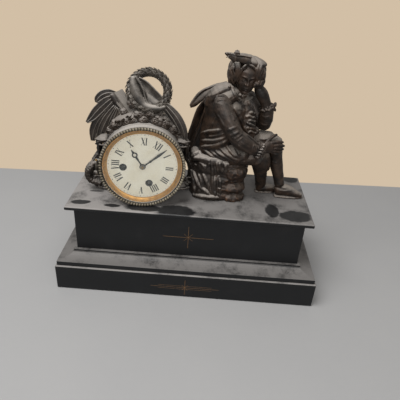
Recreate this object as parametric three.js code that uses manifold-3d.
// Figural mantel clock: a drum clock with a trophy on top and a seated youth beside it,
// on a stepped slate base. Millimetres, +X to the viewer's right, +Y to the back, +Z up.
// The origin is the middle of the base's underside.

import * as THREE from 'three';
import { mergeVertices } from 'three/addons/utils/BufferGeometryUtils.js';
import Module from 'manifold-3d';

const wasm = await Module();
wasm.setup();

// Clearances between pieces
const SEAT_GAP = 0.3;
const RUN_GAP = 0.3;
const CAST_GAP = 0.35;

// Edges shorter than these are left out of machined and of cast pieces
const MACHINED = 0.004;
const CAST = 0.07;

// Slate base
const DIE_WIDTH = 311;
const DIE_DEPTH = 119;
const DIE_HEIGHT = 66;
const DIE_WALL = 14;
const SLAB_OVERHANG = 9.5;
const SLAB_THICKNESS = 6;
const SLAB_BEVEL = 1.2;
const PLINTH_HEIGHT = 38.5;
const PLINTH_LEDGE = 2.3;
const PLINTH_BEVEL = 1;
const MOULDING_HEIGHT = 15.5;
const MOULDING_REACH = 23.2;
const MOULDING_BAND = 6.7;
const MOULDING_FILLET = 4.2;
const MOULDING_LIP = 2;
const MOULDING_STEPS = 6;

// Where the case stands on the slab, and how it is turned
const CASE_X = -69;
const CASE_Y = -10;
const CASE_TURN_DEG = 7;
const DIAL_TURN_DEG = 34;

// Drum, along its own axis from the front edge (negative) to the back edge
const DRUM_RADIUS = 53;
const DRUM_STAND = 3;
const DRUM_AXIS_HEIGHT = DRUM_RADIUS + DRUM_STAND;
const DRUM_TOP = DRUM_AXIS_HEIGHT + DRUM_RADIUS;
const DRUM_WALL = 2.5;
const DRUM_SIDES = 36;
const DRUM_FRONT = -40;
const DRUM_BACK = 30;
const SEAT_RING_THICKNESS = 4.4;
const PENDULUM_SLOT_WIDTH = 20;
const PENDULUM_SLOT_DEPTH = 10;

// Dial and bezel
const DIAL_INSET = 5;
const DIAL_RADIUS = DRUM_RADIUS - DIAL_INSET;
const SEAT_RING_LAP = 4;
const SEAT_RING_RADIUS = DIAL_RADIUS - SEAT_RING_LAP;
const DIAL_THICKNESS = 2;
const DIAL_FRONT = -38;
const WINDING_HOLE_RADIUS = 4;
const SIGHT_LAP = 3;
const SIGHT_RADIUS = DIAL_RADIUS - SIGHT_LAP;
const SIGHT_INSET = 2.8;
const SIGHT_OUTER_RADIUS = DRUM_RADIUS - SIGHT_INSET;
const SIGHT_FLANGE = 0.6;
const GLASS_INSET = 2.3;
const GLASS_RADIUS = DRUM_RADIUS - GLASS_INSET;
const GLASS_THICKNESS = 1.2;
const BEZEL_OVERHANG = 1;
const BEZEL_RADIUS = DRUM_RADIUS + BEZEL_OVERHANG;
const ROPE_INSET = 0.3;
const ROPE_RADIUS = DRUM_RADIUS - ROPE_INSET;
const ROPE_THICKNESS = 2.7;
const ROPE_TWIST_DEPTH = 0.75;
const ROPE_TWISTS = 42;
const ROPE_FORWARD = 5.3;
const GLASS_SEAT_DEPTH = 3.1;

// Hinges of the bezel and of the rear door
const KNUCKLE_RADIUS = 1.9;
const KNUCKLE_LENGTH = 8;
const KNUCKLE_PIN_RADIUS = 0.9;
const PIN_HEAD_RADIUS = 1.6;
const PIN_HEAD_THICKNESS = 1.2;
const BEZEL_HINGE_REACH = 4.4;
const BEZEL_HINGE_X = -(DRUM_RADIUS + BEZEL_HINGE_REACH);
const BEZEL_HINGE_Y = -42;
const DOOR_HINGE_REACH = 3.4;
const DOOR_HINGE_X = -(DRUM_RADIUS + DOOR_HINGE_REACH);
const LUG_THICKNESS = 3;

// Rear door
const DOOR_THICKNESS = 1.6;
const DOOR_BEAD = 3;
const DOOR_KNOB_RADIUS = 2.6;
const DOOR_KNOB_LENGTH = 5;
const DOOR_KNOB_X = 40;
const DOOR_VENT_RADIUS = 4;

// Movement
const PLATE_RADIUS = 43;
const FRONT_PLATE_RADIUS = 47;
const PLATE_THICKNESS = 2;
const PLATE_SPACING = 24;
const PILLAR_RADIUS = 2.2;
const PILLAR_X = 33;
const PILLAR_Z = 16;
const LOWER_PILLAR_X = 13;
const LOWER_PILLAR_Z = -37;
const BARREL_X = 20;
const BARREL_Z = -15;
const BARREL_RADIUS = 14;
const BARREL_FRONT = -25.2;
const BARREL_LENGTH = 11;
const BARREL_HUB_RADIUS = 3.4;
const BARREL_ARBOR_RADIUS = 2.2;
const WINDING_SQUARE = 3;
const BARREL_TEETH = 60;
const BARREL_MODULE = 0.5;
const BARREL_TEETH_WIDTH = 2;
const INTERMEDIATE_PINION_TEETH = 10;
const INTERMEDIATE_TEETH = 48;
const INTERMEDIATE_MODULE = 0.5;
const CENTRE_PINION_TEETH = 8;
const CENTRE_TEETH = 72;
const CENTRE_MODULE = 0.35;
const THIRD_PINION_TEETH = 6;
const THIRD_TEETH = 66;
const THIRD_MODULE = 0.3;
const ESCAPE_PINION_TEETH = 6;
const ESCAPE_TEETH = 38;
const ESCAPE_RADIUS = 7;
const ESCAPE_Z = 21;
const STRIKE_TEETH = 40;
const STRIKE_MODULE = 0.4;
const FLY_PINION_TEETH = 8;
const FLY_HALF_WIDTH = 5.5;
const FLY_LENGTH = 6;
const WHEEL_THICKNESS = 1;
const ARBOR_RADIUS = 0.8;
const CENTRE_ARBOR_RADIUS = 1;

// Motion work
const MOTION_DISTANCE = 12;
const CANNON_TEETH = 10;
const MINUTE_WHEEL_TEETH = 30;
const MINUTE_PINION_TEETH = 8;
const HOUR_WHEEL_TEETH = 32;
const MOTION_WHEEL_THICKNESS = 1.2;
const MOTION_STUD_TURN_DEG = 300;
const CANNON_PIPE_RADIUS = 1.9;
const HOUR_PIPE_RADIUS = 3;
const DIAL_CENTRE_CLEARANCE = 0.5;

// Hands
const HAND_THICKNESS = 0.5;
const HOUR_HAND_LENGTH = 27;
const MINUTE_HAND_LENGTH = 39;
const MOON_RADIUS = 2.6;
const MOON_DISTANCE = 18.5;
const HOUR_HAND_ANGLE_DEG = 328.9;
const MINUTE_HAND_ANGLE_DEG = 51.4;
const HOUR_BOSS_RADIUS = 4.6;
const MINUTE_BOSS_RADIUS = 3.6;
const COLLET_RADIUS = 3.2;
const COLLET_THICKNESS = 0.8;
const HAND_PLANE_GAP = 0.3;

// Escapement and pendulum
const PALLET_Z = 30;
const PALLET_ARM = 6.4;
const CRUTCH_LENGTH = 26;
const CRUTCH_DEPTH = 5.4;
const PENDULUM_Y = 4.6;
const PENDULUM_ROD_RADIUS = 1;
const BOB_RADIUS = 15;
const BOB_THICKNESS = 8;
const BOB_CLEARANCE = 9.87;
const COCK_WIDTH = 12;

// Strike work at the back
const COUNT_WHEEL_RADIUS = 12;
const COUNT_WHEEL_THICKNESS = 1;
const COUNT_NOTCH_DEPTH = 2;
const BELL_RADIUS = 24;
const BELL_DEPTH = 12;
const BELL_WALL = 1.4;
const BELL_FRONT = 11;
const BELL_POST_RADIUS = 1.8;
const BELL_NUT_RADIUS = 3.6;
const BELL_NUT_THICKNESS = 2;
const HAMMER_X = -26;
const HAMMER_Z = -26;
const HAMMER_ARM = 17.9;
const HAMMER_HEAD_RADIUS = 2.5;
const HAMMER_HEAD_LENGTH = 5;

// Scroll feet of the case
const FOOT_HALF_DEPTH = 12;
const FOOT_BACK = 11;
const FOOT_HALF_THICKNESS = 5.8;

// Figure: thickness of the limbs
const THIGH_RADIUS = 11;
const KNEE_RADIUS = 9.6;
const CALF_RADIUS = 8.2;
const ANKLE_RADIUS = 6.2;
const SLEEVE_RADIUS = 12;
const ELBOW_RADIUS = 9.6;
const WRIST_RADIUS = 6.2;
const CUFF_RADIUS = 8;
const FINGER_RADIUS = 1.9;
const NECK_RADIUS = 6.6;
const CAPE_THICKNESS = 3.6;

// Trophy
const WREATH_LONG = 28.5;
const WREATH_SHORT = 23;
const WREATH_RADIUS = 4.3;
const WREATH_LEAVES = 16;
const BOOK_LENGTH = 34;
const BOOK_WIDTH = 21;
const BOOK_THICKNESS = 7;
const BOOK_COVER = 1.2;
const BOOK_SQUARE = 1;
const TROPHY_SEAT = 109;

const DEG = Math.PI / 180;
// The pendulum hangs from the pallets' axis and swings this clear of the base's floor
const PENDULUM_LENGTH = DIE_HEIGHT + SLAB_THICKNESS + DRUM_AXIS_HEIGHT
  + PALLET_Z * Math.cos(DIAL_TURN_DEG * DEG) - BOB_RADIUS - BOB_CLEARANCE;
const SLAB_TOP = PLINTH_HEIGHT + MOULDING_HEIGHT + DIE_HEIGHT + SLAB_THICKNESS;
const DRUM_INNER_RADIUS = DRUM_RADIUS - DRUM_WALL;
const DIAL_BACK = DIAL_FRONT + DIAL_THICKNESS;
const SEAT_RING_FRONT = DIAL_BACK + SEAT_GAP;
const SEAT_RING_BACK = SEAT_RING_FRONT + SEAT_RING_THICKNESS;
const FRONT_PLATE_FRONT = SEAT_RING_BACK + SEAT_GAP;
const FRONT_PLATE_BACK = FRONT_PLATE_FRONT + PLATE_THICKNESS;
const BACK_PLATE_FRONT = FRONT_PLATE_BACK + PLATE_SPACING;
const BACK_PLATE_BACK = BACK_PLATE_FRONT + PLATE_THICKNESS;

// Solids

function solidOf(source) {
  const geometry = source.clone();
  geometry.deleteAttribute('normal');
  geometry.deleteAttribute('uv');
  const merged = mergeVertices(geometry, 1e-4);
  const points = merged.attributes.position;
  const corners = [];
  let volume = 0;
  for (let i = 0; i < merged.index.count; i += 3) {
    const a = merged.index.getX(i);
    const b = merged.index.getX(i + 1);
    const c = merged.index.getX(i + 2);
    if (a === b || b === c || a === c) continue;
    corners.push(a, b, c);
    const p = new THREE.Vector3().fromBufferAttribute(points, a);
    const q = new THREE.Vector3().fromBufferAttribute(points, b);
    const r = new THREE.Vector3().fromBufferAttribute(points, c);
    volume += p.dot(q.cross(r));
  }
  if (volume < 0) {
    for (let i = 0; i < corners.length; i += 3) {
      const keep = corners[i];
      corners[i] = corners[i + 1];
      corners[i + 1] = keep;
    }
  }
  const vertProperties = new Float32Array(points.array);
  const triVerts = new Uint32Array(corners);
  return new wasm.Manifold(new wasm.Mesh({ numProp: 3, vertProperties, triVerts }));
}

function geometryOf(solid, tolerance) {
  const mesh = largest(solid.simplify(tolerance)).getMesh();
  const geometry = new THREE.BufferGeometry();
  geometry.setAttribute('position', new THREE.BufferAttribute(new Float32Array(mesh.vertProperties), 3));
  geometry.setIndex(Array.from(mesh.triVerts));
  geometry.computeVertexNormals();
  return geometry;
}

function joined(solids) {
  return solids.reduce((whole, solid) => whole.add(solid));
}

function cutBy(solid, cutters) {
  return cutters.reduce((whole, cutter) => whole.subtract(cutter), solid);
}

function largest(solid) {
  const bodies = solid.decompose();
  return bodies.reduce((best, body) => (body.volume() > best.volume() ? body : best));
}

function piece(group, name, solid, look, tolerance = MACHINED) {
  const mesh = new THREE.Mesh(geometryOf(solid, tolerance), new THREE.MeshStandardMaterial(look));
  mesh.name = name;
  group.add(mesh);
  return mesh;
}

// A box from its two opposite corners
function block(from, to) {
  const size = to.map((value, i) => value - from[i]);
  const geometry = new THREE.BoxGeometry(...size);
  geometry.translate(...from.map((value, i) => value + size[i] / 2));
  return solidOf(geometry);
}

// A body turned about the Y axis, from a profile of radius and depth
function turned(profile, segments = 20) {
  const closed = profile.map(([radius, depth]) => new THREE.Vector2(radius, depth));
  closed.push(closed[0].clone());
  return solidOf(new THREE.LatheGeometry(closed, segments));
}

function disc(radius, front, thickness, segments = 20) {
  const profile = [[0, front], [radius, front], [radius, front + thickness], [0, front + thickness]];
  return solidOf(new THREE.LatheGeometry(profile.map(([r, y]) => new THREE.Vector2(r, y)), segments));
}

function washer(outer, inner, front, thickness, segments = 20) {
  const back = front + thickness;
  return turned([[inner, front], [outer, front], [outer, back], [inner, back]], segments);
}

// A flat piece that faces the viewer: its outline is drawn in X and Z
function sheet(shape, front, thickness, curveSegments = 8) {
  const depth = thickness;
  const geometry = new THREE.ExtrudeGeometry(shape, { depth, bevelEnabled: false, curveSegments });
  geometry.rotateX(Math.PI / 2);
  geometry.translate(0, front + thickness, 0);
  return solidOf(geometry);
}

// A standing round pin
function post(x, y, from, to, radius, segments = 8) {
  const geometry = new THREE.CylinderGeometry(radius, radius, to - from, segments);
  geometry.rotateX(Math.PI / 2);
  geometry.translate(x, y, (from + to) / 2);
  return solidOf(geometry);
}

// A stack of level rectangles, each given by its height and its two half widths
function stack(levels) {
  const geometry = new THREE.CylinderGeometry(1, 1, 1, 4, levels.length - 1);
  const points = geometry.attributes.position;
  for (let i = 0; i < points.count; i += 1) {
    const level = levels[Math.round((0.5 - points.getY(i)) * (levels.length - 1))];
    const x = points.getX(i);
    const z = points.getZ(i);
    const rim = Math.hypot(x, z) > 0.5;
    const turn = Math.round(Math.atan2(x, z) / (Math.PI / 2));
    const side = rim ? [[1, 1], [1, -1], [-1, -1], [-1, 1]][(turn + 4) % 4] : [0, 0];
    points.setXYZ(i, side[0] * level[1], side[1] * level[2], level[0]);
  }
  return solidOf(geometry);
}

// A soft round bar along stations [x, y, z, half width, other half width]. The first half
// width lies along the direction wide. Both ends are rounded off, and swell makes it fatter.
function bar(stations, wide = [0, 1, 0], sides = 8, swell = 0) {
  const at = stations.map((s) => new THREE.Vector3(s[0], s[1], s[2]));
  const last = at.length - 1;
  const along = at.map((p, i) => {
    return at[Math.min(i + 1, last)].clone().sub(at[Math.max(i - 1, 0)]).normalize();
  });
  const rings = at.map((p, i) => ({
    p,
    t: along[i],
    a: stations[i][3] + swell,
    b: (stations[i][4] ?? stations[i][3]) + swell,
  }));
  const rounded = (ring, way) => {
    const reach = 0.55 * Math.min(ring.a, ring.b) + swell * 0.5;
    return {
      p: ring.p.clone().addScaledVector(ring.t, way * reach), t: ring.t, a: ring.a * 0.66, b: ring.b * 0.66,
    };
  };
  rings.unshift(rounded(rings[0], -1));
  rings.push(rounded(rings[rings.length - 1], 1));
  const hint = new THREE.Vector3(...wide);
  const geometry = new THREE.CylinderGeometry(1, 1, 1, sides, rings.length - 1);
  const points = geometry.attributes.position;
  for (let i = 0; i < points.count; i += 1) {
    const ring = rings[Math.round((0.5 - points.getY(i)) * (rings.length - 1))];
    const first = hint.clone().addScaledVector(ring.t, -hint.dot(ring.t)).normalize();
    const second = ring.t.clone().cross(first);
    const p = ring.p.clone();
    p.addScaledVector(first, points.getX(i) * ring.a);
    p.addScaledVector(second, points.getZ(i) * ring.b);
    points.setXYZ(i, p.x, p.y, p.z);
  }
  return solidOf(geometry);
}

// An egg shape with three half sizes, turned about the vertical
function egg(centre, half, swell = 0, turnDeg = 0, across = 10, up = 6) {
  const geometry = new THREE.SphereGeometry(1, across, up);
  geometry.rotateX(Math.PI / 2);
  geometry.scale(half[0] + swell, half[1] + swell, half[2] + swell);
  geometry.rotateZ(turnDeg * DEG);
  geometry.translate(...centre);
  return solidOf(geometry);
}

// Looks
const SLATE = { color: 0x1d1e22, roughness: 0.42, metalness: 0 };
const BRONZE = { color: 0x2b2421, roughness: 0.45, metalness: 0.6 };
const DUSTY_BRONZE = { color: 0x4a423d, roughness: 0.6, metalness: 0.45 };
const GILT = { color: 0x9c7036, roughness: 0.35, metalness: 0.85 };
const ROPE_BRASS = { color: 0x857a5c, roughness: 0.5, metalness: 0.7 };
const BRASS = { color: 0xb08d4a, roughness: 0.35, metalness: 0.9 };
const STEEL = { color: 0x77797c, roughness: 0.35, metalness: 0.9 };
const BLUED = { color: 0x14141a, roughness: 0.35, metalness: 0.7 };
const ENAMEL = { color: 0xe0dccb, roughness: 0.25, metalness: 0 };
const GLASS = { color: 0xf2f5f4, roughness: 0.05, metalness: 0, transparent: true, opacity: 0.15 };
const BELL_METAL = { color: 0xa98c55, roughness: 0.3, metalness: 0.9 };

// Slate base

function baseHalf(extra) {
  return [DIE_WIDTH / 2 + extra, DIE_DEPTH / 2 + extra];
}

function plinth() {
  const outer = MOULDING_REACH + PLINTH_LEDGE;
  return stack([
    [0, ...baseHalf(outer - PLINTH_BEVEL / 2)],
    [PLINTH_BEVEL / 2, ...baseHalf(outer)],
    [PLINTH_HEIGHT - PLINTH_BEVEL, ...baseHalf(outer)],
    [PLINTH_HEIGHT, ...baseHalf(outer - PLINTH_BEVEL)],
  ]);
}

function baseMoulding() {
  const levels = [[0, MOULDING_REACH], [MOULDING_BAND, MOULDING_REACH]];
  const rise = MOULDING_HEIGHT - MOULDING_LIP - MOULDING_BAND;
  for (let i = 1; i <= MOULDING_STEPS; i += 1) {
    const angle = (i / MOULDING_STEPS) * Math.PI / 2;
    levels.push([
      MOULDING_BAND + rise * (1 - Math.cos(angle)),
      MOULDING_REACH - (MOULDING_REACH - MOULDING_FILLET) * Math.sin(angle),
    ]);
  }
  levels.push([MOULDING_HEIGHT, MOULDING_FILLET]);
  return stack(levels.map(([z, out]) => [PLINTH_HEIGHT + z, ...baseHalf(out)]));
}

function topSlab() {
  const bottom = SLAB_TOP - SLAB_THICKNESS;
  const slab = stack([
    [bottom, ...baseHalf(SLAB_OVERHANG - SLAB_BEVEL)],
    [bottom + SLAB_BEVEL, ...baseHalf(SLAB_OVERHANG)],
    [SLAB_TOP - SLAB_BEVEL, ...baseHalf(SLAB_OVERHANG)],
    [SLAB_TOP, ...baseHalf(SLAB_OVERHANG - SLAB_BEVEL)],
  ]);
  const hang = pendulumPlace();
  const slot = new THREE.BoxGeometry(PENDULUM_SLOT_WIDTH, PENDULUM_SLOT_DEPTH, SLAB_THICKNESS + 4);
  slot.translate(hang.x, PENDULUM_Y, 0);
  slot.rotateZ(CASE_TURN_DEG * DEG);
  slot.translate(CASE_X, CASE_Y, SLAB_TOP - SLAB_THICKNESS / 2);
  return slab.subtract(solidOf(slot));
}

function addBase(root) {
  const bottom = PLINTH_HEIGHT + MOULDING_HEIGHT;
  const top = bottom + DIE_HEIGHT;
  const [x, y] = baseHalf(0);
  piece(root, 'plinth', plinth(), SLATE);
  piece(root, 'base_moulding', baseMoulding(), SLATE);
  piece(root, 'die_front', block([-x, -y, bottom], [x, DIE_WALL - y, top]), SLATE);
  piece(root, 'die_back', block([-x, y - DIE_WALL, bottom], [x, y, top]), SLATE);
  const side = (from, to) => block([from, DIE_WALL - y, bottom], [to, y - DIE_WALL, top]);
  piece(root, 'die_left', side(-x, DIE_WALL - x), SLATE);
  piece(root, 'die_right', side(x - DIE_WALL, x), SLATE);
  piece(root, 'top_slab', topSlab(), SLATE);
}

// Case. Its own frame has its origin under the drum on the slab; the drum's axis runs along Y.

// The pendulum's hanging point in the drum's frame, found from its place in the movement
function pendulumPlace() {
  const turn = DIAL_TURN_DEG * DEG;
  return { x: PALLET_Z * Math.sin(turn), z: PALLET_Z * Math.cos(turn) };
}

function hingeLug(x, y, wallTo, side) {
  const low = side > 0 ? KNUCKLE_LENGTH / 2 + SEAT_GAP : -KNUCKLE_LENGTH * 1.1 - SEAT_GAP;
  const high = side > 0 ? KNUCKLE_LENGTH * 1.1 + SEAT_GAP : -KNUCKLE_LENGTH / 2 - SEAT_GAP;
  const knuckle = post(x, y, low, high, KNUCKLE_RADIUS);
  const inward = Math.sign(wallTo - y);
  const near = [x - KNUCKLE_RADIUS, Math.min(y, wallTo), low];
  const far = [x + KNUCKLE_RADIUS * 0.6, Math.max(y, wallTo), high];
  const arm = block(near, far);
  const deep = wallTo - inward * LUG_THICKNESS;
  const tongue = block(
    [x, Math.min(wallTo, deep), low],
    [-DRUM_RADIUS + 1.4, Math.max(wallTo, deep), high],
  );
  return joined([knuckle, arm, tongue]);
}

function hingeHole(x, y) {
  const reach = KNUCKLE_LENGTH * 2;
  return post(x, y, -reach, reach, KNUCKLE_PIN_RADIUS + RUN_GAP);
}

function hingePin(x, y) {
  const end = KNUCKLE_LENGTH * 1.1 + SEAT_GAP;
  const shank = post(x, y, -end - 0.8, end + SEAT_GAP * 2, KNUCKLE_PIN_RADIUS);
  const head = post(x, y, end + SEAT_GAP, end + SEAT_GAP + PIN_HEAD_THICKNESS, PIN_HEAD_RADIUS);
  return shank.add(head);
}

function drumCase() {
  const shell = turned([
    [DRUM_INNER_RADIUS, DRUM_FRONT], [DRUM_RADIUS, DRUM_FRONT],
    [DRUM_RADIUS, DRUM_BACK], [DRUM_INNER_RADIUS, DRUM_BACK],
    [DRUM_INNER_RADIUS, SEAT_RING_BACK], [SEAT_RING_RADIUS, SEAT_RING_BACK],
    [SEAT_RING_RADIUS, SEAT_RING_FRONT], [DRUM_INNER_RADIUS, SEAT_RING_FRONT],
  ], DRUM_SIDES);
  const hang = pendulumPlace();
  const slot = block(
    [hang.x - PENDULUM_SLOT_WIDTH / 2, PENDULUM_Y - PENDULUM_SLOT_DEPTH / 2, -DRUM_RADIUS - 2],
    [hang.x + PENDULUM_SLOT_WIDTH / 2, PENDULUM_Y + PENDULUM_SLOT_DEPTH / 2, -DRUM_RADIUS / 2],
  );
  const doorY = doorHingeY();
  const lugs = [1, -1].flatMap((side) => [
    hingeLug(BEZEL_HINGE_X, BEZEL_HINGE_Y, BEZEL_HINGE_Y + LUG_THICKNESS * 1.9, side),
    hingeLug(DOOR_HINGE_X, doorY, doorY - LUG_THICKNESS * 1.9, side),
  ]);
  const holes = [slot, hingeHole(BEZEL_HINGE_X, BEZEL_HINGE_Y), hingeHole(DOOR_HINGE_X, doorY)];
  return cutBy(joined([shell, ...lugs]), holes);
}

function doorHingeY() {
  return DRUM_BACK + SEAT_GAP + DOOR_THICKNESS / 2 + 0.3;
}

function glassFront() {
  return DRUM_FRONT - GLASS_SEAT_DEPTH;
}

// The bezel's section, outwards from its back: a seat ring with a rope in front of it.
// The rope's points draw in once a twist.
function bezelSection(shrink) {
  const inner = GLASS_RADIUS + SEAT_GAP;
  const back = DRUM_FRONT - SEAT_GAP;
  const ropeFront = DRUM_FRONT - ROPE_FORWARD;
  const r = ROPE_THICKNESS - shrink;
  const lip = ROPE_RADIUS - ROPE_THICKNESS;
  const lipBack = glassFront() - SEAT_GAP;
  return [
    [inner, back], [BEZEL_RADIUS, back], [ROPE_RADIUS + r, ropeFront],
    [ROPE_RADIUS + r * 0.5, ropeFront - r * 0.87], [ROPE_RADIUS - r * 0.5, ropeFront - r * 0.87],
    [lip, lipBack], [inner, lipBack],
  ];
}

function frontBezel() {
  const inner = GLASS_RADIUS + SEAT_GAP;
  const steps = ROPE_TWISTS * 2;
  const sides = bezelSection(0).length;
  const geometry = new THREE.TorusGeometry(BEZEL_RADIUS, 1, sides, steps);
  const points = geometry.attributes.position;
  for (let i = 0; i < points.count; i += 1) {
    const ring = Math.floor(i / (steps + 1)) % sides;
    const step = (i % (steps + 1)) % steps;
    const angle = step * 2 * Math.PI / steps;
    const [radius, y] = bezelSection(step % 2 ? ROPE_TWIST_DEPTH : 0)[ring];
    points.setXYZ(i, radius * Math.cos(angle), y, radius * Math.sin(angle));
  }
  const tongue = block(
    [BEZEL_HINGE_X, BEZEL_HINGE_Y - KNUCKLE_RADIUS * 0.7, -KNUCKLE_LENGTH / 2],
    [-inner - 1, BEZEL_HINGE_Y + KNUCKLE_RADIUS * 0.5, KNUCKLE_LENGTH / 2],
  );
  const half = KNUCKLE_LENGTH / 2;
  const knuckle = post(BEZEL_HINGE_X, BEZEL_HINGE_Y, -half, half, KNUCKLE_RADIUS);
  return cutBy(joined([solidOf(geometry), tongue, knuckle]), [hingeHole(BEZEL_HINGE_X, BEZEL_HINGE_Y)]);
}

function sightRing() {
  const front = glassFront() + GLASS_THICKNESS + SEAT_GAP;
  const flangeBack = DRUM_FRONT - SEAT_GAP;
  const back = DIAL_FRONT - SEAT_GAP;
  const flange = SIGHT_OUTER_RADIUS + SIGHT_FLANGE;
  return turned([
    [SIGHT_RADIUS, back], [SIGHT_RADIUS, back - SIGHT_FLANGE], [SIGHT_OUTER_RADIUS - 1, front],
    [flange, front], [flange, flangeBack], [SIGHT_OUTER_RADIUS, flangeBack], [SIGHT_OUTER_RADIUS, back],
  ], DRUM_SIDES);
}

function dialGlass() {
  return disc(GLASS_RADIUS, glassFront(), GLASS_THICKNESS, DRUM_SIDES);
}

function rearDoor() {
  const front = DRUM_BACK + SEAT_GAP;
  const back = front + DOOR_THICKNESS;
  const plate = turned([
    [0, front], [DRUM_RADIUS, front], [DRUM_RADIUS - DOOR_BEAD, back + DOOR_BEAD / 2],
    [DRUM_RADIUS - DOOR_BEAD * 2, back], [0, back],
  ], DRUM_SIDES);
  const y = doorHingeY();
  const tongue = block(
    [DOOR_HINGE_X, front + 0.2, -KNUCKLE_LENGTH / 2],
    [-DRUM_RADIUS + 3, back, KNUCKLE_LENGTH / 2],
  );
  const knuckle = post(DOOR_HINGE_X, y, -KNUCKLE_LENGTH / 2, KNUCKLE_LENGTH / 2, KNUCKLE_RADIUS);
  const knob = disc(DOOR_KNOB_RADIUS, back - 0.2, DOOR_KNOB_LENGTH, 12);
  const vents = [60, 90, 120].map((turn) => {
    const reach = DRUM_RADIUS * 0.45;
    const hole = new THREE.CylinderGeometry(DOOR_VENT_RADIUS, DOOR_VENT_RADIUS, 20, 10);
    hole.translate(reach * Math.cos(turn * DEG), front, reach * Math.sin(turn * DEG));
    return solidOf(hole);
  });
  const whole = joined([plate, tongue, knuckle, knob.translate([DOOR_KNOB_X, 0, 0])]);
  return cutBy(whole, [...vents, hingeHole(DOOR_HINGE_X, y)]);
}

// The C scroll that carries one side of the drum; side is -1 at the left and 1 at the right
function scrollFoot(side, swell = 0) {
  const t = FOOT_HALF_THICKNESS;
  const y = FOOT_BACK;
  const d = FOOT_HALF_DEPTH;
  const path = [
    [50, y, 63, d * 0.8, t * 0.9], [58, y, 54, d * 0.8, t], [65.5, y, 42, d * 0.9, t],
    [69, y, 28, d, t], [66.5, y, 14, d, t], [58, y, 6.5, d, t * 1.1], [41, y, 6, d, t],
  ];
  return bar(path.map(([x, ...rest]) => [side * x, ...rest]), [0, 1, 0], 8, swell);
}

// The collar at the drum's side with its tail, which runs down into the scroll
function sideStrap(side, swell = 0) {
  const collar = bar([
    [side * 47, -12, 84, 10, 4.5], [side * 53, -12, 83, 10, 5], [side * 58, -12, 80, 9, 4],
  ], [0, 1, 0], 8, swell);
  const tail = bar([
    [side * 56, -12, 80, 8, 4], [side * 57.5, -7, 66, 7, 3.6], [side * 57.5, 1, 54, 6, 3],
  ], [0, 1, 0], 8, swell);
  return collar.add(tail);
}

function drumSpace() {
  const space = disc(DRUM_RADIUS + CAST_GAP, DRUM_FRONT - 30, 120, DRUM_SIDES);
  return space.translate([0, 0, DRUM_AXIS_HEIGHT]);
}

function placedFoot(side) {
  const floor = block([-120, -60, -20], [120, 60, SEAT_GAP]);
  const cutters = [floor, drumSpace()];
  if (side > 0) cutters.push(rockInCase(CAST_GAP), palmRight(CAST_GAP));
  return largest(cutBy(scrollFoot(side).add(sideStrap(side)), cutters));
}

function addCase(group) {
  const drum = new THREE.Group();
  drum.position.z = DRUM_AXIS_HEIGHT;
  group.add(drum);
  piece(drum, 'drum_case', drumCase(), BRONZE);
  piece(drum, 'front_bezel', frontBezel(), ROPE_BRASS);
  piece(drum, 'sight_ring', sightRing(), GILT);
  piece(drum, 'dial_glass', dialGlass(), GLASS);
  piece(drum, 'bezel_hinge_pin', hingePin(BEZEL_HINGE_X, BEZEL_HINGE_Y), BRASS);
  piece(drum, 'rear_door', rearDoor(), BRASS);
  piece(drum, 'door_hinge_pin', hingePin(DOOR_HINGE_X, doorHingeY()), BRASS);
  piece(group, 'left_scroll_foot', placedFoot(-1), BRONZE, CAST);
  piece(group, 'right_scroll_foot', placedFoot(1), BRONZE, CAST);
  return drum;
}

// Movement. Its frame is the drum's, turned about the drum's axis.

// A toothed outline: points and roots in turn, with a tooth at the angle first
function toothed(teeth, module, firstDeg) {
  const radius = teeth * module / 2;
  const shape = new THREE.Shape();
  for (let i = 0; i < teeth * 2; i += 1) {
    const angle = firstDeg * DEG + i * Math.PI / teeth;
    const reach = i % 2 ? radius - 0.9 * module : radius + 0.3 * module;
    if (i === 0) shape.moveTo(reach * Math.cos(angle), reach * Math.sin(angle));
    else shape.lineTo(reach * Math.cos(angle), reach * Math.sin(angle));
  }
  shape.closePath();
  return shape;
}

function holed(shape, radius) {
  const hole = new THREE.Path();
  hole.absarc(0, 0, radius, 0, Math.PI * 2, true);
  shape.holes.push(hole);
  return shape;
}

function arbor(radius, from, to) {
  return disc(radius, from, to - from, 6);
}

// The angle, in degrees, at which b lies seen from a
function bearing(a, b) {
  return Math.atan2(b[1] - a[1], b[0] - a[0]) / DEG;
}

// The first tooth of a wheel that must show a gap at the angle given
function gapAt(angleDeg, teeth) {
  return angleDeg + 180 / teeth;
}

// A point at the distance ra from a and rb from b, on the left or right of the way from a to b
function crossing(a, ra, b, rb, side) {
  const d = Math.hypot(b[0] - a[0], b[1] - a[1]);
  const along = (ra * ra - rb * rb + d * d) / (2 * d);
  const off = side * Math.sqrt(ra * ra - along * along);
  const ux = (b[0] - a[0]) / d;
  const uz = (b[1] - a[1]) / d;
  return [a[0] + ux * along - uz * off, a[1] + uz * along + ux * off];
}

const CENTRE = [0, 0];
const GOING = [BARREL_X, BARREL_Z];
const STRIKE = [-BARREL_X, BARREL_Z];
const ESCAPE = [0, ESCAPE_Z];
const BARREL_DISTANCE = (BARREL_TEETH + INTERMEDIATE_PINION_TEETH) * BARREL_MODULE / 2;
const CENTRE_DISTANCE = (INTERMEDIATE_TEETH + CENTRE_PINION_TEETH) * INTERMEDIATE_MODULE / 2;
const THIRD_DISTANCE = (CENTRE_TEETH + THIRD_PINION_TEETH) * CENTRE_MODULE / 2;
const ESCAPE_DISTANCE = (THIRD_TEETH + ESCAPE_PINION_TEETH) * THIRD_MODULE / 2;
const FLY_DISTANCE = (STRIKE_TEETH + FLY_PINION_TEETH) * STRIKE_MODULE / 2;
const INTERMEDIATE = crossing(CENTRE, CENTRE_DISTANCE, GOING, BARREL_DISTANCE, 1);
const THIRD = crossing(CENTRE, THIRD_DISTANCE, ESCAPE, ESCAPE_DISTANCE, 1);
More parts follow.
